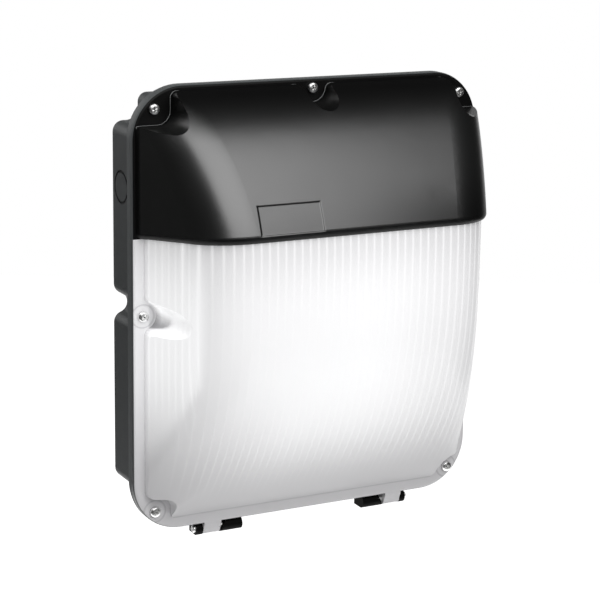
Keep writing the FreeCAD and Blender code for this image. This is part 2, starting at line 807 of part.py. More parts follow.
def make_cover_screw(x, z):
    """Pan-head screw with a crossed recess; the shank is drawn at the thread's core."""
    top = seat_depth + screw_head_height
    head = rod(screw_head_radius, x, z, seat_depth, top)
    head = head.makeFillet(screw_head_height / 2, face_edges(head, top))
    half = recess_width / 2
    bottom = top - recess_depth
    bars = [block(x - recess_reach, x + recess_reach, bottom, top + through, z - half, z + half),
            block(x - half, x + half, bottom, top + through, z - recess_reach, z + recess_reach)]
    shank = rod(screw_core_radius, x, z, seat_depth - screw_length, seat_depth + through / 2)
    return fuse_all(head, [shank]).cut(Part.makeCompound(bars))


def make_screw_seals():
    """Sealing washers between the screw heads and the cover."""
    rings = []
    for x, z in screw_places().values():
        disc = rod(seal_radius, x, z, cover_front, seat_depth)
        rings.append(disc.cut(rod(screw_hole_radius, x, z, cover_front - through, seat_depth + through)))
    return Part.makeCompound(rings)


# ---------------------------------------------------------------- gear tray and light source

def make_gear_tray():
    """White pressed pan with a folded edge, which hides the driver and reflects the light."""
    inset = box_wall + tray_margin
    pan = box_form(inset, tray_front_depth - tray_fold, tray_front_depth)
    pan = pan.makeFillet(tray_sheet, face_edges(pan, tray_front_depth))
    pan = pan.cut(box_form(inset + tray_sheet, tray_front_depth - tray_fold - through,
                           tray_front_depth - tray_sheet))
    holes = []
    for x, z in tray_boss_places() + board_screw_places():
        holes.append(rod(small_screw_radius + screw_clearance, x, z, flange_back - tray_fold, joint_depth))
    holes.append(rod(lead_hole_radius + grommet_wall, 0, lead_hole_z, 0, joint_depth))
    return pan.cut(Part.makeCompound(holes))


def make_tray_screws():
    return small_screws(tray_boss_places(), tray_front_depth, small_screw_length)


def grommet(x, z, hole_radius, bore_radius, sheet_from, sheet_to):
    """Rubber grommet gripping both faces of a sheet."""
    body = rod(hole_radius, x, z, sheet_from - grommet_lip, sheet_to + grommet_lip)
    for low, high in ((sheet_from - grommet_lip, sheet_from), (sheet_to, sheet_to + grommet_lip)):
        body = body.fuse(rod(hole_radius + grommet_lip, x, z, low, high))
    return body.removeSplitter().cut(rod(bore_radius, x, z, sheet_from - far_reach, sheet_to + far_reach))


def make_tray_grommet():
    return grommet(0, lead_hole_z, lead_hole_radius + grommet_wall, lead_hole_radius,
                   tray_front_depth - tray_sheet, tray_front_depth)


def board_screw_places():
    x = board_half_width - board_screw_inset
    z = board_half_height - board_screw_inset
    return [(side * x, board_centre_z + end * z) for side in (-1, 1) for end in (-1, 1)]


def make_led_board():
    front = tray_front_depth + board_thickness
    board = rounded_slab(board_half_width, board_half_height, board_corner_radius, tray_front_depth, front)
    board.translate(Vector(0, 0, board_centre_z))
    holes = [rod(small_screw_radius + screw_clearance, x, z, 0, joint_depth)
             for x, z in board_screw_places()]
    return board.cut(Part.makeCompound(holes))


def make_led_chips():
    front = tray_front_depth + board_thickness
    half = chip_size / 2
    chips = []
    for column in range(chip_columns):
        x = (column - (chip_columns - 1) / 2) * chip_pitch_x
        for row in range(chip_rows):
            z = board_centre_z + (row - (chip_rows - 1) / 2) * chip_pitch_z
            chips.append(block(x - half, x + half, front, front + chip_height, z - half, z + half))
    return Part.makeCompound(chips)


def make_board_screws():
    return small_screws(board_screw_places(), tray_front_depth + board_thickness, board_screw_length)


def make_board_connector():
    """Plug-in connector at the lower edge of the board; the leads end at its lower face."""
    front = tray_front_depth + board_thickness
    return block(-connector_half_width, connector_half_width, front, front + connector_height,
                 connector_bottom, connector_bottom + connector_length)


# ---------------------------------------------------------------- driver and wiring

def make_led_driver():
    """Sealed driver case with a fixing foot at each end."""
    half = driver_length / 2
    low = driver_centre_z - driver_width / 2
    high = driver_centre_z + driver_width / 2
    case = block(-half, half, driver_seat_depth, driver_seat_depth + driver_height, low, high)
    long_edges = [edge for edge in case.Edges if edge.Length > driver_length - through]
    case = case.makeFillet(driver_edge_radius, long_edges)
    reach = half + driver_foot
    foot = block(-reach, reach, driver_seat_depth, driver_seat_depth + driver_foot_thickness,
                 driver_centre_z - driver_foot_half_width, driver_centre_z + driver_foot_half_width)
    holes = [rod(small_screw_radius + screw_clearance, x, z, 0, joint_depth)
             for x, z in driver_screw_places()]
    return fuse_all(case, [foot]).cut(Part.makeCompound(holes))


def make_driver_screws():
    seat = driver_seat_depth + driver_foot_thickness
    return small_screws(driver_screw_places(), seat, driver_screw_length)


def terminal_way_places():
    pitch = terminal_width / terminal_ways
    return [terminal_centre_x + (way - (terminal_ways - 1) / 2) * pitch for way in range(terminal_ways)]


def make_terminal_block():
    """Three-way block: a screw well in front and a lead entry above and below each way."""
    front = terminal_seat_depth + terminal_height
    low = terminal_centre_z - terminal_depth / 2
    high = terminal_centre_z + terminal_depth / 2
    body = block(terminal_centre_x - terminal_width / 2, terminal_centre_x + terminal_width / 2,
                 terminal_seat_depth, front, low, high)
    wells = []
    for x in terminal_way_places():
        wells.append(rod(terminal_way_radius, x, terminal_centre_z, front - terminal_screw_depth,
                         front + through))
        for z in (low, high - terminal_screw_depth):
            wells.append(Part.makeCylinder(terminal_way_radius, terminal_screw_depth,
                                           Vector(x, -lead_depth, z), Vector(0, 0, 1)))
    return body.cut(Part.makeCompound(wells))


def make_terminal_screws():
    """Slotted clamping screws in the wells of the terminal block."""
    bottom = terminal_seat_depth + terminal_height - terminal_screw_depth
    top = bottom + terminal_screw_depth / 2
    half = terminal_slot_width / 2
    screws = []
    for x in terminal_way_places():
        slot = block(x - terminal_screw_radius, x + terminal_screw_radius, top - terminal_slot_depth,
                     top + through, terminal_centre_z - half, terminal_centre_z + half)
        screws.append(rod(terminal_screw_radius, x, terminal_centre_z, bottom, top).cut(slot))
    return Part.makeCompound(screws)


def make_earth_stud():
    """Screw in the earth boss that clamps the ring end of the earth lead."""
    seat = floor_thickness + earth_boss_height
    ring = rod(earth_boss_radius, earth_stud_x, earth_stud_z, seat, seat + earth_ring_thickness)
    tab = block(earth_stud_x - lead_radius, earth_stud_x + lead_radius, seat,
                lead_depth + lead_radius, earth_tab_z,
                earth_stud_z - small_screw_head_radius - earth_tab_gap)
    screw = pan_screw(earth_stud_x, earth_stud_z, seat + earth_ring_thickness, earth_boss_height)
    return fuse_all(ring, [tab, screw])


def lead_tube(name, points, radius):
    """Round lead along straight runs that are joined by tangent arcs."""
    edges = []
    start = points[0]
    bends = []
    for before, corner, after in zip(points, points[1:], points[2:]):
        run_in = corner - before
        run_out = after - corner
        turn = run_in.getAngle(run_out)
        bend = bend_share * min(run_in.Length, run_out.Length) / math.tan(turn / 2)
        tangent = bend * math.tan(turn / 2)
        arc_start = corner - run_in.normalize() * tangent
        arc_end = corner + run_out.normalize() * tangent
        towards = ((arc_start + arc_end) * 0.5 - corner).normalize()
        arc_middle = corner + towards * (bend / math.cos(turn / 2) - bend)
        edges.append(Part.makeLine(start, arc_start))
        edges.append(Part.Arc(arc_start, arc_middle, arc_end).toShape())
        start = arc_end
        bends.append(round(bend, 1))
    edges.append(Part.makeLine(start, points[-1]))
    path = Part.Wire(edges)
    profile = Part.Wire([Part.makeCircle(radius, points[0], points[1] - points[0])])
    tube = path.makePipeShell([profile], True, True)
    expected = math.pi * radius ** 2 * path.Length
    print(name, "bend radii", bends, "volume ratio", round(tube.Volume / expected, 4))
    return tube


def make_input_leads():
    """Live and neutral leads from the terminal block to the driver's input end."""
    top = terminal_centre_z - terminal_depth / 2
    end = -driver_length / 2
    tubes = []
    for index, x in enumerate(terminal_way_places()[1:]):
        beside = end - lead_standoff + index * lead_spacing
        low = driver_centre_z + index * lead_spacing
        bend_z = top - lead_drop - lead_shift - index * lead_spacing / 2
        points = [Vector(x, -lead_depth, top), Vector(x, -lead_depth, top - lead_drop),
                  Vector(beside, -lead_depth, bend_z), Vector(beside, -lead_depth, low),
                  Vector(end, -lead_depth, low)]
        tubes.append(lead_tube("input lead", points, lead_radius))
    return Part.makeCompound(tubes)


def make_earth_lead():
    """Earth lead from the terminal block to the earth stud."""
    top = terminal_centre_z - terminal_depth / 2
    x = terminal_way_places()[0]
    low = top - earth_drop
    points = [Vector(x, -lead_depth, top), Vector(x, -lead_depth, low),
              Vector(earth_stud_x, -lead_depth, low), Vector(earth_stud_x, -lead_depth, earth_tab_z)]
    return lead_tube("earth lead", points, lead_radius)


def make_led_leads():
    """Output leads from the driver, through the tray and up to the board's connector."""
    low = driver_centre_z - driver_width / 2
    front = tray_front_depth + board_thickness + connector_height / 2
    tubes = []
    for x in (-connector_half_width / 2, connector_half_width / 2):
        points = [Vector(x, -lead_depth, low), Vector(x, -lead_depth, lead_turn_z),
                  Vector(x, -front, lead_turn_z), Vector(x, -front, connector_bottom)]
        tubes.append(lead_tube("board lead", points, lead_radius))
    return Part.makeCompound(tubes)


# ---------------------------------------------------------------- rear wall

def make_entry_grommet():
    return grommet(0, entry_z, entry_radius, grommet_bore_radius, grommet_lip,
                   floor_thickness + entry_collar_height)


def make_wall_seals():
    """Soft washers on the pads round the four wall-fixing holes."""
    seat = floor_thickness + wall_hole_pad_height
    rings = []
    for x, z in wall_hole_places():
        disc = rod(wall_seal_radius, x, z, seat, seat + wall_seal_thickness)
        rings.append(disc.cut(rod(wall_hole_radius, x, z, 0, joint_depth)))
    return Part.makeCompound(rings)


def main():
    os.makedirs("parts", exist_ok=True)
    nodes = {
        "housing": make_housing(),
        "cover_gasket": make_cover_gasket(),
        "screw_inserts": make_screw_inserts(),
        "hinge_bracket_left": make_hinge_bracket(-1),
        "hinge_bracket_right": make_hinge_bracket(1),
        "hinge_bracket_screws": make_bracket_screws(),
        "hinge_pin_left": make_hinge_pin(-1),
        "hinge_pin_right": make_hinge_pin(1),
        "lens": make_lens(),
        "hood": make_hood(),
        "screw_seals": make_screw_seals(),
        "gear_tray": make_gear_tray(),
        "tray_screws": make_tray_screws(),
        "tray_grommet": make_tray_grommet(),
        "led_board": make_led_board(),
        "led_chips": make_led_chips(),
        "board_screws": make_board_screws(),
        "board_connector": make_board_connector(),
        "led_driver": make_led_driver(),
        "driver_screws": make_driver_screws(),
        "terminal_block": make_terminal_block(),
        "terminal_screws": make_terminal_screws(),
        "earth_stud": make_earth_stud(),
        "input_leads": make_input_leads(),
        "earth_lead": make_earth_lead(),
        "led_leads": make_led_leads(),
        "entry_grommet": make_entry_grommet(),
        "wall_seals": make_wall_seals(),
    }
    for place, (x, z) in screw_places().items():
        nodes["cover_screw_" + place] = make_cover_screw(x, z)
    for name, shape in nodes.items():
        shape.exportStep("parts/%s.step" % name)
        solids = shape.Solids
        print(name, "solids", len(solids), "valid", shape.isValid(),
              "volume", round(sum(solid.Volume for solid in solids)))


main()
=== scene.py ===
import json
import math

import bpy
from mathutils import Matrix, Vector
from mathutils.bvhtree import BVHTree


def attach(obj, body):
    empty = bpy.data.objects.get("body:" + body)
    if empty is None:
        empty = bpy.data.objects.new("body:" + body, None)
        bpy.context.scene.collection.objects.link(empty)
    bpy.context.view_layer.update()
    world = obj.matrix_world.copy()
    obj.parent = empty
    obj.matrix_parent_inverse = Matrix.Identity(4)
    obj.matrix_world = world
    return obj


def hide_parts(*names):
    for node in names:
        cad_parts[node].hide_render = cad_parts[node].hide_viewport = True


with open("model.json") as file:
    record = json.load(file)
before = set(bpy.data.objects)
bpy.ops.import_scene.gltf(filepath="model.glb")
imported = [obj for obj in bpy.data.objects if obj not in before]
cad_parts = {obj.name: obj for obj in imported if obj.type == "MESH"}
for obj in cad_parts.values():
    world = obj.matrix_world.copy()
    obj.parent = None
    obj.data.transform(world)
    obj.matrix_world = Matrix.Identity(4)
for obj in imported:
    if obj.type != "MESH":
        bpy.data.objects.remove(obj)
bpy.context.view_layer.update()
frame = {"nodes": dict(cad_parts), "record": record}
scene = bpy.context.scene
scene.view_settings.view_transform = "Standard"
print("frame loaded:", len(frame["nodes"]), "nodes")


class Sock:
    # one output socket, so that sums and products of sockets read as plain maths
    def __init__(self, graph, socket):
        self.graph = graph
        self.socket = socket

    def math(self, operation, *others):
        values = {0: self, **{place + 1: other for place, other in enumerate(others)}}
        return self.graph.node("ShaderNodeMath", {"operation": operation}, values)

    def after(self, operation, first):
        return self.graph.node("ShaderNodeMath", {"operation": operation}, {0: first, 1: self})

    def __add__(self, other):
        return self.math("ADD", other)

    def __radd__(self, other):
        return self.after("ADD", other)

    def __mul__(self, other):
        return self.math("MULTIPLY", other)

    def __rmul__(self, other):
        return self.after("MULTIPLY", other)

    def __sub__(self, other):
        return self.math("SUBTRACT", other)

    def __rsub__(self, other):
        return self.after("SUBTRACT", other)

    def __truediv__(self, other):
        return self.math("DIVIDE", other)

    def __rtruediv__(self, other):
        return self.after("DIVIDE", other)

    def __pow__(self, other):
        return self.math("POWER", other)

    def size(self):
        return self.math("ABSOLUTE")

    def clamped(self, low=0.0, high=1.0):
        return self.math("MAXIMUM", low).math("MINIMUM", high)

    def smooth(self, start, end):
        # 0 before start, 1 past end, eased between them
        return self.graph.node("ShaderNodeMapRange", {"interpolation_type": "SMOOTHSTEP"},
                               {"Value": self, "From Min": start, "From Max": end})

    def near(self, place, inner, outer):
        # 1 within inner of place, 0 past outer, eased between them
        return 1.0 - (self - place).size().smooth(inner, outer)


class Graph:
    # a node tree that starts empty; node() makes any kind of node
    def __init__(self, tree):
        self.tree = tree
        tree.nodes.clear()

    def node(self, kind, settings=None, inputs=None, output=0):
        made = self.tree.nodes.new(kind)
        for name, value in (settings or {}).items():
            setattr(made, name, value)
        for key, value in (inputs or {}).items():
            if isinstance(value, Sock):
                self.tree.links.new(value.socket, made.inputs[key])
            else:
                made.inputs[key].default_value = value
        return made if output is None else Sock(self, made.outputs[output])

    def split(self, vector):
        made = self.node("ShaderNodeSeparateXYZ", inputs={0: vector}, output=None)
        return [Sock(self, socket) for socket in made.outputs]

    def rays(self):
        # whether a ray comes from the camera, a reflection, glass or a diffuse surface
        made = self.node("ShaderNodeLightPath", output=None)
        return [Sock(self, made.outputs[f"Is {kind} Ray"])
                for kind in ("Camera", "Glossy", "Transmission", "Diffuse")]


class Finish(Graph):
    # a material's tree, with the object's own coordinates at hand
    def __init__(self, name):
        self.material = bpy.data.materials.new(name)
        self.material.use_nodes = True
        super().__init__(self.material.node_tree)
        self.place = self.node("ShaderNodeTexCoord", output="Object")
        self.x, self.y, self.z = self.split(self.place)

    def noise(self, scale, detail=3.0):
        return self.node("ShaderNodeTexNoise",
                         inputs={"Vector": self.place, "Scale": scale, "Detail": detail})

    def mixed(self, share, first, second):
        return self.node("ShaderNodeMix", {"data_type": "RGBA"}, {0: share, 6: first, 7: second}, 2)

    def bump(self, height, distance, under=None):
        inputs = {"Height": height, "Distance": distance}
        if under:
            inputs["Normal"] = under
        return self.node("ShaderNodeBump", inputs=inputs)

    def worn(self, roughness, spread, scale):
        # a roughness that wanders by spread over the surface
        return roughness + spread * (self.noise(scale) - 0.5)

    def grained(self, scale, height, detail=3.0):
        return self.bump(self.noise(scale, detail), height)

    def principled(self, **values):
        inputs = {key.replace("_", " "): value for key, value in values.items()}
        return self.node("ShaderNodeBsdfPrincipled", inputs=inputs)

    def ended(self, shader):
        self.node("ShaderNodeOutputMaterial", inputs={0: shader}, output=None)
        return self.material

    def finished(self, **values):
        return self.ended(self.principled(**values))


def rgb(code):
    # sRGB hex code to linear colour
    channels = [int(code[start:start + 2], 16) / 255 for start in (1, 3, 5)]
    return (*[c / 12.92 if c <= 0.04045 else ((c + 0.055) / 1.055) ** 2.4 for c in channels], 1.0)


# the camera of the photograph: its place in metres, its angles in degrees, its lens in millimetres
view = {"place": (-0.6681, -1.3038, 0.3428), "azimuth": -27.77, "elevation": 13.603, "roll": 0.866,
        "lens": 117.37}


def directionOf(azimuth, elevation):
    # unit vector towards a place; azimuth 0 is straight in front and grows to the right
    turn, rise = math.radians(azimuth), math.radians(elevation)
    return Vector((math.sin(turn) * math.cos(rise), -math.cos(turn) * math.cos(rise), math.sin(rise)))


def makeCamera():
    back = directionOf(view["azimuth"], view["elevation"])
    right = Vector((0, 0, 1)).cross(back).normalized()
    up = back.cross(right)
    roll = math.radians(view["roll"])
    axes = Matrix((math.cos(roll) * right + math.sin(roll) * up,
                   math.cos(roll) * up - math.sin(roll) * right, back)).transposed()
    data = bpy.data.cameras.new("camera")
    data.lens = view["lens"]
    data.sensor_width = 36.0
    camera = bpy.data.objects.new("camera", data)
    camera.matrix_world = Matrix.Translation(view["place"]) @ axes.to_4x4()
    scene.collection.objects.link(camera)
    scene.camera = camera


makeCamera()

lamps = {
    "softbox": {"azimuth": 0, "elevation": 43, "distance": 1.6, "size": (1.75, 1.75), "power": 22.5},
    "left": {"azimuth": -96, "elevation": 52, "distance": 1.3, "size": (0.5, 0.5), "power": 2.6},
    "rear": {"azimuth": -150, "elevation": 18, "distance": 1.6, "size": (1.0, 0.9), "power": 4.5},
}
lampAim = Vector((0.0, -0.08, 0.03))


def makeLamp(name, values):
    data = bpy.data.lights.new(name + "Lamp", "AREA")
    data.shape = "RECTANGLE"
    data.size, data.size_y = values["size"]
    data.energy = values["power"]
    lamp = bpy.data.objects.new(name + "Lamp", data)
    towards = directionOf(values["azimuth"], values["elevation"])
    lamp.location = lampAim + values["distance"] * towards
    lamp.rotation_euler = towards.to_track_quat("Z", "Y").to_euler()
    scene.collection.objects.link(lamp)


for lampName, lampValues in lamps.items():
    makeLamp(lampName, lampValues)

# fill lights everything, soft adds to the diffuse light, and back says how near to the camera's line of
# sight a reflection has to look to see white, from not at all to fully
surroundings = {"fill": 0.03, "soft": 0.1, "back": (0.7, 0.95)}


def makeWorld():
    # white behind the object, where the camera looks, and dim in front of it
    world = bpy.data.worlds.new("studio")
    scene.world = world
    world.use_nodes = True
    graph = Graph(world.node_tree)
    seen, glossy, through, diffuse = graph.rays()
    towards = graph.node("ShaderNodeTexCoord", output="Generated")
    ahead = tuple(-directionOf(view["azimuth"], view["elevation"]))
    along = graph.node("ShaderNodeVectorMath", {"operation": "DOT_PRODUCT"},
                       {0: towards, 1: ahead}, "Value")
    white = (seen + (glossy + through) * along.smooth(*surroundings["back"])).clamped()
    fill = surroundings["fill"] + surroundings["soft"] * diffuse
    strength = fill + white * (1.0 - surroundings["fill"])
    background = graph.node("ShaderNodeBackground", inputs={"Color": (1, 1, 1, 1), "Strength": strength})
    graph.node("ShaderNodeOutputWorld", inputs={0: background}, output=None)


makeWorld()

# the floor is a strip along the camera's line of sight, and near and far are counted from the camera;
# its height is below the open cover
floorSizes = {"height": -0.56, "near": 0.9, "far": 3.9, "halfWidth": 0.85}
floorLook = {"grey": (0.94, 0.94, 0.94, 1.0), "pale": (0.97, 0.97, 0.97, 1.0), "clouds": 30.0, "glow": 0.92}


def makeFloor():
    ahead = -directionOf(view["azimuth"], 0.0)
    across = ahead.cross(Vector((0, 0, 1)))
    start = Vector((view["place"][0], view["place"][1], floorSizes["height"]))
    corners = [start + along * ahead + side * floorSizes["halfWidth"] * across
               for along, side in ((floorSizes["near"], -1), (floorSizes["near"], 1),
                                   (floorSizes["far"], 1), (floorSizes["far"], -1))]
    mesh = bpy.data.meshes.new("floor")
    mesh.from_pydata(corners, [], [(0, 1, 2, 3)])
    graph = Finish("paleFloor")
    seen, glossy, through, _ = graph.rays()
    colour = graph.mixed(graph.noise(floorLook["clouds"]), floorLook["grey"], floorLook["pale"])
    share = (seen + glossy + through).clamped() * floorLook["glow"]
    glow = graph.mixed(share, (0, 0, 0, 1), (1, 1, 1, 1))
    mesh.materials.append(graph.finished(Base_Color=colour, Roughness=0.8, Specular_IOR_Level=0.1,
                                         Emission_Color=glow, Emission_Strength=1.0))
    floor = bpy.data.objects.new("floor", mesh)
    scene.collection.objects.link(floor)


makeFloor()
print("camera, lamps and floor ready")

# sizes that the solids share with the materials, in metres; a screw's place is across and up
solids = {
    "rimHalfWidth": 0.142, "rimHalfHeight": 0.165, "cornerRadius": 0.0385, "coverFront": 0.0488,
    "knockout": {"y": -0.017, "z": 0.089, "radius": 0.0114, "inner": 0.0006, "outer": 0.0015},
    "panel": {"x": -0.0535, "z": 0.0783, "halfWidth": 0.0245, "halfHeight": 0.00975, "edge": 0.0009},
    "sideScrew": (0.1343, 0.0), "lowScrew": (0.1255, -0.149), "lensPitch": 0.0064,
}
# painted grey: a highlight on the housing's rim and on the side of the hood's rim, and painted shade on the
# side of the lens's rim where the housing would show through
paintedRimGrey = rgb("#5c5f60")

# In the dictionaries below, a pair of lengths is where a change over the surface starts and ends, depth is
# counted from the wall, roughness is its middle, its spread and the scale of its noise, and grain is the
# scale of its noise and its height, with the noise's detail where there is a third.

# clouds is the scale and the detail of the noise that shifts the colour
plasticLook = {"clouds": (22.0, 4.0), "wear": (0.1, 70.0), "grainScale": 1500.0, "grainDetail": 2.0}
metalLook = {"clouds": (120.0, 4.0), "wear": (0.14, 500.0), "grain": (2500.0, 0.00002), "lighter": 1.15}


def plainPlastic(name, base, light, roughness, grain=0.00004, specular=0.45):
    graph = Finish(name)
    colour = graph.mixed(graph.noise(*plasticLook["clouds"]), base, light)
    return graph.finished(Base_Color=colour, Roughness=graph.worn(roughness, *plasticLook["wear"]),
                          Normal=graph.grained(plasticLook["grainScale"], grain, plasticLook["grainDetail"]),
                          Specular_IOR_Level=specular)


def plainMetal(name, base, roughness):
    graph = Finish(name)
    light = tuple(min(1.0, channel * metalLook["lighter"]) for channel in base)
    colour = graph.mixed(graph.noise(*metalLook["clouds"]), base, light)
    return graph.finished(Base_Color=colour, Metallic=1.0,
                          Roughness=graph.worn(roughness, *metalLook["wear"]),
                          Normal=graph.grained(*metalLook["grain"]))


housingLook = {
    "clouds": (14.0, 5.0), "dark": rgb("#3f4243"), "light": rgb("#484b4c"), "grooveShade": rgb("#060707"),
    "sideX": (0.1355, 0.136), "rimDepth": (0.0355, 0.0362),
    "roughness": (0.5, 0.12, 45.0), "grain": (1300.0, 0.00009),
}


def housingPlastic():
    # charcoal with a fine spark texture, with a painted highlight that makes the wide rim lighter, and
    # painted shade in the groove round each knockout
    graph = Finish("housingPlastic")
    ring = solids["knockout"]
    across = ((graph.y - ring["y"]) ** 2.0 + (graph.z - ring["z"]) ** 2.0) ** 0.5
    groove = across.near(ring["radius"], ring["inner"], ring["outer"])
    # painted shade: the groove round each knockout is darkened almost to black
    grooveShade = groove * graph.x.size().smooth(*housingLook["sideX"])
    plain = graph.mixed(graph.noise(*housingLook["clouds"]), housingLook["dark"], housingLook["light"])
    # painted highlight: the wide rim is painted a lighter grey
    plain = graph.mixed((0.0 - graph.y).smooth(*housingLook["rimDepth"]), plain, paintedRimGrey)
    colour = graph.mixed(grooveShade, plain, housingLook["grooveShade"])
    return graph.finished(Base_Color=colour, Roughness=graph.worn(*housingLook["roughness"]),
                          Normal=graph.grained(*housingLook["grain"]), Specular_IOR_Level=0.4)


# how far from the rim's outline and from its front the painted grey edge of the cover starts and ends
rimEdgeBand = {"from": -0.001, "full": -0.0005, "fading": 0.0004, "gone": 0.0008,
               "sideFrom": -0.001, "frontFrom": -0.0003}


def paintedRimEdge(graph):
    # 1 on the outer side face of the cover's rim, painted grey: painted shade on the lens, where the housing
    # would show through the clear edge, and a painted highlight on the hood's black; 0 on the hinge knuckles
    # that stand out past it
    corner, band, front = solids["cornerRadius"], rimEdgeBand, solids["coverFront"]
    sideways = (graph.x.size() - (solids["rimHalfWidth"] - corner)).clamped()
    upright = (graph.z.size() - (solids["rimHalfHeight"] - corner)).clamped()
    out = (sideways ** 2.0 + upright ** 2.0) ** 0.5
    onFront = (0.0 - graph.y).smooth(front + band["sideFrom"], front + band["frontFrom"])
    beyond = out.smooth(corner + band["fading"], corner + band["gone"])
    return out.smooth(corner + band["from"], corner + band["full"]) * (1.0 - onFront) * (1.0 - beyond)


# edge is the height of the hood's lower edge and rise its slope outwards; line is the depth of the painted
# highlight round the pocket floors, and how it fades
hoodLook = {
    "edge": 0.0566, "rise": 0.083,
    "lip": (0.0032, 0.0052), "top": (0.128, 0.158), "topShade": 0.85,
    "right": (-0.02, 0.11), "low": (0.062, 0.105), "lowRightShade": 0.75,
    "pocketDepth": (0.0516, 0.0546), "cornerX": (0.106, 0.108), "middleX": (0.0165, 0.0185),
    "pocketZ": (0.1352, 0.1372), "line": (0.0501, 0.0002, 0.0005), "clouds": (16.0, 4.0),
    "satin": (rgb("#070808"), rgb("#0c0d0d")), "shadedBlack": (rgb("#040404"), rgb("#080808")),
    "lineColour": rgb("#a9abab"), "roughness": (0.31, 0.05, 35.0), "duller": 0.15,
    "grain": (1500.0, 0.00003, 2.0), "panelStep": 0.0006,
}


def offPanel(graph):
    # 0 on the bare panel, 1 outside it
    panel = solids["panel"]
    sideways = (graph.x - panel["x"]).size() - panel["halfWidth"]
    upright = (graph.z - panel["z"]).size() - panel["halfHeight"]
    return sideways.math("MAXIMUM", upright).smooth(-panel["edge"], panel["edge"])


def hoodPaintedShade(graph, depth):
    # painted shade, darker and less glossy: the turned-under lip, the very top and the screw pockets, and
    # the lower right as the photograph has it
    aboveEdge = graph.z - (hoodLook["edge"] + hoodLook["rise"] * (depth - solids["coverFront"]))
    lip = 1.0 - aboveEdge.smooth(*hoodLook["lip"])
    top = graph.z.smooth(*hoodLook["top"]) * hoodLook["topShade"]
    pockets = 1.0 - depth.smooth(*hoodLook["pocketDepth"])
    lowRight = graph.x.smooth(*hoodLook["right"]) * (1.0 - graph.z.smooth(*hoodLook["low"]))
    lowRight = lowRight * hoodLook["lowRightShade"]
    return lip.math("MAXIMUM", top).math("MAXIMUM", pockets).math("MAXIMUM", lowRight)


def pocketHighlight(graph, depth):
    # 1 on the painted highlight, a fine pale line round the floor of each screw pocket
    corners = graph.x.size().smooth(*hoodLook["cornerX"])
    middle = 1.0 - graph.x.size().smooth(*hoodLook["middleX"])
    inPocket = corners.math("MAXIMUM", middle) * graph.z.smooth(*hoodLook["pocketZ"])
    return depth.near(*hoodLook["line"]) * inPocket


def hoodPlastic():
    # satin black, with painted shade in places, darker and duller, which also carries the painted highlight
    # round the pocket floors and the painted grey of the rim's side; the bare panel's edge is a fine step
    # that the bump sharpens
    graph = Finish("hoodPlastic")
    depth = 0.0 - graph.y
    clouds = graph.noise(*hoodLook["clouds"])
    colour = graph.mixed(clouds, *hoodLook["satin"])
    dark = graph.mixed(clouds, *hoodLook["shadedBlack"])
    # painted highlight: a fine pale line round the floor of each screw pocket
    dark = graph.mixed(pocketHighlight(graph, depth), dark, hoodLook["lineColour"])
    # painted highlight: the side face of the hood's rim turns grey
    dark = graph.mixed(paintedRimEdge(graph), dark, paintedRimGrey)
    rough = graph.worn(*hoodLook["roughness"])
    grain = graph.grained(*hoodLook["grain"])
    step = graph.bump(offPanel(graph), hoodLook["panelStep"], grain)
    satin = graph.principled(Base_Color=colour, Roughness=rough, Normal=step,
                             IOR=1.72, Specular_IOR_Level=1.0)
    shadedBlack = graph.principled(Base_Color=dark, Roughness=rough + hoodLook["duller"], Normal=grain,
                            Specular_IOR_Level=0.2)
    # painted shade: where this mask is 1 the hood is darker and duller
    paintedShade = hoodPaintedShade(graph, depth)
    return graph.ended(graph.node("ShaderNodeMixShader", inputs={0: paintedShade, 1: satin, 2: shadedBlack}))


# painted light on the lens, as shares of full light: where it gathers, the painted shade that takes from it
# and the painted highlights that add to it
glow = {
    "z": -0.025, "reachZ": 0.0915, "reachRight": 0.135, "low": 0.02, "high": 0.54,
    "fold": -0.112, "foldX": (-0.005, 0.003), "foldDepth": 0.34, "foldReach": 0.055, "foldSlant": 0.32,
    "foldFrom": -0.04, "leftX": (0.035, 0.11), "lowZ": (0.02, 0.12), "lowLeft": 0.5,
    "flange": (0.0505, 0.058), "rim": 0.5, "outside": (-0.35, 0.05),
    "ribs": 0.3, "ribsBeyond": 1.05, "ribZ": (-0.24, 0.03),
    "sideRibs": 0.07, "sideRibX": (0.110, 0.118), "sideRibDepth": (0.052, 0.058), "sideRibZ": (-0.10, -0.04),
}
# painted shade in fine lines on the lens: a ring round each screw's boss, and a line round the foot of the
# dome
lensLines = {"radius": 0.0085, "inner": 0.0004, "outer": 0.001, "ringDepth": (0.053, 0.058),
             "footLift": 0.0009, "footInner": 0.0003, "footOuter": 0.0007, "share": 0.3,
             "colour": rgb("#9b9b9e")}
# the screw pockets in the dome's sides: where the side wall would be, and the painted shade and painted
# light on their own walls
sidePocket = {"wallX": 0.151, "wallSlope": 0.36, "inboard": (0.003, 0.005), "z": (0.027, 0.030),
              "front": (0.088, 0.096), "turnedUp": 0.3, "mostGrey": 0.8, "mostDark": 0.9, "light": 0.22,
              "colour": rgb("#9d9da0")}
lensLook = {"clouds": (12.0, 4.0), "dark": rgb("#e6e5e7"), "light": rgb("#edecee"), "lit": rgb("#fdfefe"),
            "ribDepth": (0.06, 0.1), "ribSharpness": 6.0, "ribHeight": 0.00008,
            "roughness": (0.3, 0.1, 40.0), "grain": (900.0, 0.00001, 2.0)}


def ribWave(along):
    # 1 on the crest of each rib, 0 between the ribs
    turn = along * (2 * math.pi / solids["lensPitch"])
    return (turn.math("COSINE") * 0.5 + 0.5) ** lensLook["ribSharpness"]


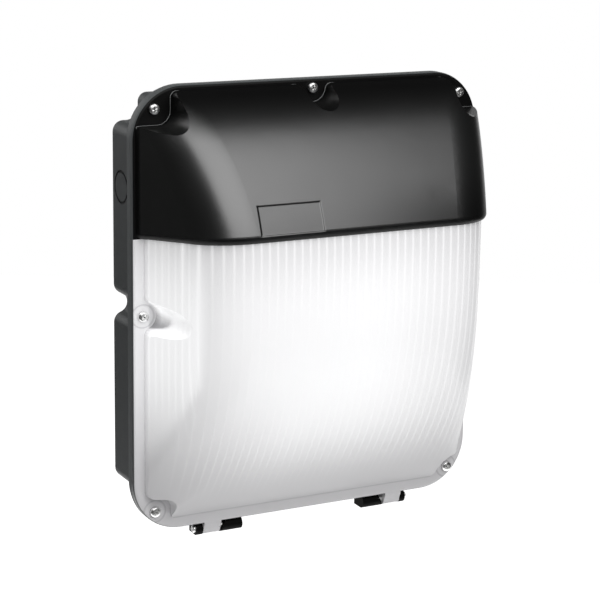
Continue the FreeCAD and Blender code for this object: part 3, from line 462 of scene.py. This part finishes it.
def lensLight(graph, depth, rib, faces):
    # painted light gathers in the middle, with painted shade past the fold, low on the left, on the flange
    # and inside, and painted highlights along the ribs
    upright = ((graph.z - glow["z"]).size() / glow["reachZ"]) ** 4.0
    sideways = (graph.x.clamped() / glow["reachRight"]) ** 2.0
    heart = (0.0 - (upright + sideways)).math("EXPONENT")
    # the dome folds from its side into its front along a line that slants out towards the bottom
    slanted = graph.x + (glow["foldFrom"] - graph.z).clamped() * glow["foldSlant"] - glow["fold"]
    fading = (0.0 - slanted.clamped() / glow["foldReach"]).math("EXPONENT")
    fold = slanted.smooth(*glow["foldX"]) * fading * glow["foldDepth"]
    lowLeft = (0.0 - graph.x).smooth(*glow["leftX"]) * (0.0 - graph.z).smooth(*glow["lowZ"])
    lowLeft = lowLeft * glow["lowLeft"]
    flat = 1.0 - depth.smooth(*glow["flange"])
    outer = (0.0 - faces).smooth(*glow["outside"])
    spread = heart * (1.0 - fold) * (1.0 - lowLeft) * (1.0 - flat * (1.0 - glow["rim"])) * outer
    ribLight = rib * (glow["ribsBeyond"] - heart) * graph.z.smooth(*glow["ribZ"]) * glow["ribs"]
    onSide = graph.x.size().smooth(*glow["sideRibX"]) * depth.smooth(*glow["sideRibDepth"])
    onSide = onSide * graph.z.smooth(*glow["sideRibZ"])
    ribLight = ribLight + ribWave(graph.y) * onSide * glow["sideRibs"]
    return glow["low"] + spread * (glow["high"] - glow["low"]) + ribLight


def lensCreaseShade(graph, depth):
    # 1 on the lines of painted shade on the lens
    def ring(across, height):
        away = ((graph.x.size() - across) ** 2.0 + (graph.z - height) ** 2.0) ** 0.5
        return away.near(lensLines["radius"], lensLines["inner"], lensLines["outer"])

    rings = ring(*solids["sideScrew"]).math("MAXIMUM", ring(*solids["lowScrew"]))
    footLine = depth.near(solids["coverFront"] + lensLines["footLift"], lensLines["footInner"],
                      lensLines["footOuter"])
    return (rings * (1.0 - depth.smooth(*lensLines["ringDepth"]))).math("MAXIMUM", footLine)


def inSidePocket(graph, depth):
    # a screw pocket in the dome's side is what lies inboard of the side wall there
    wall = sidePocket["wallX"] - sidePocket["wallSlope"] * depth
    inboard = (wall - graph.x.size()).smooth(*sidePocket["inboard"])
    beside = 1.0 - graph.z.size().smooth(*sidePocket["z"])
    return inboard * beside * (1.0 - depth.smooth(*sidePocket["front"]))


def opalLens():
    # opal polycarbonate with upright ribs, lit by painted light and shade; faces and rises tell how far a
    # surface faces back and up
    graph = Finish("opalLens")
    depth = 0.0 - graph.y
    _, faces, rises = graph.split(graph.node("ShaderNodeTexCoord", output="Normal"))
    rib = ribWave(graph.x) * depth.smooth(*lensLook["ribDepth"])
    creaseShade = lensCreaseShade(graph, depth) * lensLines["share"]
    pocket, turnedUp = inSidePocket(graph, depth), sidePocket["turnedUp"] + rises
    plain = graph.mixed(graph.noise(*lensLook["clouds"]), lensLook["dark"], lensLook["light"])
    plain = graph.mixed(creaseShade, plain, lensLines["colour"])
    # painted shade greys the pocket walls that face up and takes their light; painted light brightens the
    # walls that face down
    plain = graph.mixed(pocket * turnedUp.clamped(0.0, sidePocket["mostGrey"]), plain, sidePocket["colour"])
    # painted shade: the lines take from the lens's painted light
    light = lensLight(graph, depth, rib, faces) * (1.0 - creaseShade)
    light = light * (1.0 - pocket * turnedUp.clamped(0.0, sidePocket["mostDark"]))
    light = light + pocket * (0.0 - rises).clamped() * sidePocket["light"]
    # painted shade: the rim's outer side face turns grey and loses its painted light
    onPaintedEdge = paintedRimEdge(graph)
    colour = graph.mixed(onPaintedEdge, plain, paintedRimGrey)
    lit = graph.mixed(light * (1.0 - onPaintedEdge), (0, 0, 0, 1), lensLook["lit"])
    normal = graph.bump(rib, lensLook["ribHeight"], graph.grained(*lensLook["grain"]))
    return graph.finished(Base_Color=colour, Roughness=graph.worn(*lensLook["roughness"]), Normal=normal,
                          Specular_IOR_Level=0.5, Emission_Color=lit, Emission_Strength=1.0)


finishes = {
    "housing_plastic": housingPlastic(),
    "hood_plastic": hoodPlastic(),
    "black_hinge_plastic": plainPlastic("hingePlastic", rgb("#030303"), rgb("#070707"), 0.6, 0.00005, 0.1),
    "opal_lens": opalLens(),
    "silicone_seal": plainPlastic("siliconeSeal", rgb("#4c4d4d"), rgb("#585959"), 0.6, 0.00003),
    "black_rubber": plainPlastic("blackRubber", rgb("#151515"), rgb("#1d1d1d"), 0.7, 0.00006, 0.3),
    "brass_insert": plainMetal("brassInsert", rgb("#c9a45c"), 0.3),
    "bright_steel": plainMetal("brightSteel", rgb("#f2f2f0"), 0.3),
    "zinc_screw": plainMetal("zincScrew", rgb("#bcbcb8"), 0.3),
    "white_tray_paint": plainPlastic("trayPaint", rgb("#e6e7e5"), rgb("#eeefed"), 0.4, 0.00006),
    "white_board": plainPlastic("whiteBoard", rgb("#eeeeea"), rgb("#f4f4f0"), 0.35, 0.00002),
    "chip_phosphor": plainPlastic("chipPhosphor", rgb("#e8c552"), rgb("#f0d468"), 0.3, 0.00001),
    "connector_plastic": plainPlastic("connectorPlastic", rgb("#e8e6de"), rgb("#f0eee8"), 0.4),
    "driver_case": plainPlastic("driverCase", rgb("#d8d8d4"), rgb("#e2e2de"), 0.45),
    "terminal_plastic": plainPlastic("terminalPlastic", rgb("#e4e2da"), rgb("#ecebe4"), 0.4),
    "lead_sleeve": plainPlastic("leadSleeve", rgb("#4a2413"), rgb("#5a2f1a"), 0.4, 0.00002),
    "earth_sleeve": plainPlastic("earthSleeve", rgb("#3f8a3a"), rgb("#d6c42e"), 0.4, 0.00002),
}
slotOf = {part["node"]: part["material_slot"] for part in frame["record"]["subparts"]}

for nodeName, node in frame["nodes"].items():
    if not node.material_slots:
        node.data.materials.append(None)
    for place in range(len(node.material_slots)):
        node.material_slots[place].material = finishes[slotOf[nodeName]]
print("finishes set:", len(finishes))


class Shape(Graph):
    # a geometry tree whose named inputs are plain numbers
    def __init__(self, name, labels):
        tree = bpy.data.node_groups.new(name, "GeometryNodeTree")
        tree.interface.new_socket("Seeds", in_out="INPUT", socket_type="NodeSocketGeometry")
        for label in labels:
            tree.interface.new_socket(label, in_out="INPUT", socket_type="NodeSocketFloat")
        tree.interface.new_socket("Shape", in_out="OUTPUT", socket_type="NodeSocketGeometry")
        super().__init__(tree)
        given = self.node("NodeGroupInput", output=None)
        self.given = {socket.name: Sock(self, socket) for socket in given.outputs if socket.name}

    def vector(self, x=0.0, y=0.0, z=0.0):
        return self.node("ShaderNodeCombineXYZ", inputs={0: x, 1: y, 2: z})

    def sheet(self, columns, rows):
        # a unit sheet, and how far along each way a point of it lies, from 0 to 1
        plain = self.node("GeometryNodeMeshGrid", inputs={
            "Size X": 1.0, "Size Y": 1.0, "Vertices X": columns, "Vertices Y": rows})
        across, along, _ = self.split(self.node("GeometryNodeInputPosition"))
        return plain, across + 0.5, along + 0.5

    def turned(self, sheet, around, radius, height):
        # bends a sheet into a round form and welds its seam and poles
        angle = around * (2 * math.pi)
        place = self.vector(radius * angle.math("COSINE"), radius * angle.math("SINE"), height)
        bent = self.node("GeometryNodeSetPosition", inputs={"Geometry": sheet, "Position": place})
        return self.node("GeometryNodeMergeByDistance", inputs={"Geometry": bent, "Distance": 0.000005})

    def moved(self, shape, translation=(0, 0, 0), rotation=(0, 0, 0)):
        return self.node("GeometryNodeTransform", inputs={"Geometry": shape, "Translation": translation,
                                                          "Rotation": rotation})

    def joined(self, *shapes):
        made = self.node("GeometryNodeJoinGeometry", output=None)
        for shape in shapes:
            self.tree.links.new(shape.socket, made.inputs[0])
        return Sock(self, made.outputs[0])

    def ended(self, shape, material):
        real = self.node("GeometryNodeRealizeInstances", inputs={"Geometry": shape})
        final = self.node("GeometryNodeSetMaterial", inputs={"Geometry": real, "Material": material})
        self.node("NodeGroupOutput", inputs={0: final}, output=None)
        return self.tree


def grown(name, tree, numbers, seeds, edges=(), sharp=35.0):
    # runs a geometry tree on points or edges and keeps the result as a plain mesh
    mesh = bpy.data.meshes.new(name + "Seeds")
    mesh.from_pydata(seeds, edges, [])
    piece = bpy.data.objects.new(name, mesh)
    scene.collection.objects.link(piece)
    modifier = piece.modifiers.new("grow", "NODES")
    modifier.node_group = tree
    for item in tree.interface.items_tree:
        if item.in_out == "INPUT" and item.name in numbers:
            modifier[item.identifier] = numbers[item.name]
    depsgraph = bpy.context.evaluated_depsgraph_get()
    shape = bpy.data.meshes.new_from_object(piece.evaluated_get(depsgraph), depsgraph=depsgraph)
    piece.modifiers.remove(modifier)
    piece.data = shape
    shape.shade_smooth()
    shape.set_sharp_from_angle(angle=math.radians(sharp))
    return piece


# pan-head screws of stainless steel that hold the cover, with a crossed recess and a rolled thread
coverScrews = {
    "places": {"top_left": (-0.1255, 0.149), "top_middle": (0.0, 0.1583), "top_right": (0.1255, 0.149),
               "side_left": (-0.1343, 0.0), "side_right": (0.1343, 0.0),
               "bottom_left": (-0.1255, -0.149), "bottom_right": (0.1255, -0.149)},
    "turns": {"top_left": 20, "top_middle": 62, "top_right": 8, "side_left": 38, "side_right": 75,
              "bottom_left": 52, "bottom_right": 30},
    "seat": -0.0496, "flatShare": 0.12, "reachPower": 0.42, "risePower": 0.62, "intoHead": 0.0004,
    "sizes": {"Head Radius": 0.004, "Head Height": 0.0024, "Recess Reach": 0.0022, "Recess Width": 0.0009,
              "Recess Depth": 0.0013, "Core": 0.0016, "Crest": 0.0019, "Length": 0.0098, "Pitch": 0.0007},
}


def screwTree():
    labels = [*coverScrews["sizes"], "Turn"]
    shape = Shape("panHeadScrew", labels)
    given = shape.given
    # the head: a flat underside, then a rounded pan
    flat, around, along = shape.sheet(49, 26)
    share = coverScrews["flatShare"]
    underside = (along / share).clamped()
    arc = ((along - share) / (1.0 - share)).clamped() * (math.pi / 2)
    reach = arc.math("COSINE").clamped() ** coverScrews["reachPower"]
    rise = arc.math("SINE").clamped() ** coverScrews["risePower"]
    pan = shape.turned(flat, around, given["Head Radius"] * underside * reach, given["Head Height"] * rise)
    blades = [shape.moved(shape.node("GeometryNodeMeshCube", inputs={
        "Size": shape.vector(*size, 2.0 * given["Recess Depth"])}),
        shape.vector(z=given["Head Height"])) for size in (
            (2.0 * given["Recess Reach"], given["Recess Width"]),
            (given["Recess Width"], 2.0 * given["Recess Reach"]))]
    cut = shape.node("GeometryNodeMeshBoolean", {"operation": "DIFFERENCE"}, {"Mesh 1": pan}, output=None)
    for blade in blades:
        shape.tree.links.new(blade.socket, cut.inputs["Mesh 2"])
    head = Sock(shape, cut.outputs["Mesh"])
    # the shank: the thread is one helical wave, and both ends close on the axis
    flat, around, along = shape.sheet(21, 120)
    height = along * (given["Length"] + coverScrews["intoHead"]) - given["Length"]
    wave = (height / given["Pitch"] - around).math("FRACT")
    ridge = (1.0 - (wave * 2.0 - 1.0).size()) * 1.5
    radius = given["Core"] + (given["Crest"] - given["Core"]) * ridge.clamped()
    ends = (along * 16.0).clamped() * ((1.0 - along) * 119.0).clamped()
    shank = shape.turned(flat, around, radius * ends ** 0.6, height)
    whole = shape.moved(shape.joined(head, shank), rotation=shape.vector(z=given["Turn"]))
    placed = shape.node("GeometryNodeInstanceOnPoints", inputs={
        "Points": given["Seeds"], "Instance": whole, "Rotation": (math.pi / 2, 0, 0)})
    return shape.ended(placed, finishes["bright_steel"])


screwShape = screwTree()
for place, (across, height) in coverScrews["places"].items():
    numbers = {**coverScrews["sizes"], "Turn": math.radians(coverScrews["turns"][place])}
    screw = grown("coverScrew_" + place, screwShape, numbers, [(across, coverScrews["seat"], height)])
    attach(screw, "screw_" + place)
    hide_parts("cover_screw_" + place)
print("cover screws made:", len(coverScrews["places"]))

# upright half-round ribs moulded on the inner face of the lens, each on a path found by a ray from inside
lensRibs = {"pitch": solids["lensPitch"], "halfWidth": 0.118, "low": -0.146, "high": 0.142, "step": 0.006,
            "from": -0.049, "leastDepth": 0.058, "sizes": {"Radius": 0.0007}}


def ribPaths():
    lens = frame["nodes"]["lens"]
    tree = BVHTree.FromObject(lens, bpy.context.evaluated_depsgraph_get())
    points, edges = [], []
    count = int(lensRibs["halfWidth"] / lensRibs["pitch"])
    for place in range(-count, count + 1):
        across, before = place * lensRibs["pitch"], None
        height = lensRibs["low"]
        while height <= lensRibs["high"]:
            hit = tree.ray_cast(Vector((across, lensRibs["from"], height)), Vector((0, -1, 0)))[0]
            if hit and -hit.y > lensRibs["leastDepth"]:
                points.append(tuple(hit))
                if before is not None:
                    edges.append((before, len(points) - 1))
                before = len(points) - 1
            else:
                before = None
            height += lensRibs["step"]
    return points, edges


def ribTree():
    shape = Shape("lensRib", lensRibs["sizes"])
    path = shape.node("GeometryNodeMeshToCurve", inputs={"Mesh": shape.given["Seeds"]})
    profile = shape.node("GeometryNodeCurvePrimitiveCircle", inputs={
        "Resolution": 6, "Radius": shape.given["Radius"]})
    swept = shape.node("GeometryNodeCurveToMesh", inputs={
        "Curve": path, "Profile Curve": profile, "Fill Caps": True})
    return shape.ended(swept, finishes["opal_lens"])


ribPoints, ribEdges = ribPaths()
ribs = grown("lensRibs", ribTree(), lensRibs["sizes"], ribPoints, ribEdges)
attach(ribs, "cover")
print("lens ribs made from", len(ribPoints), "points")
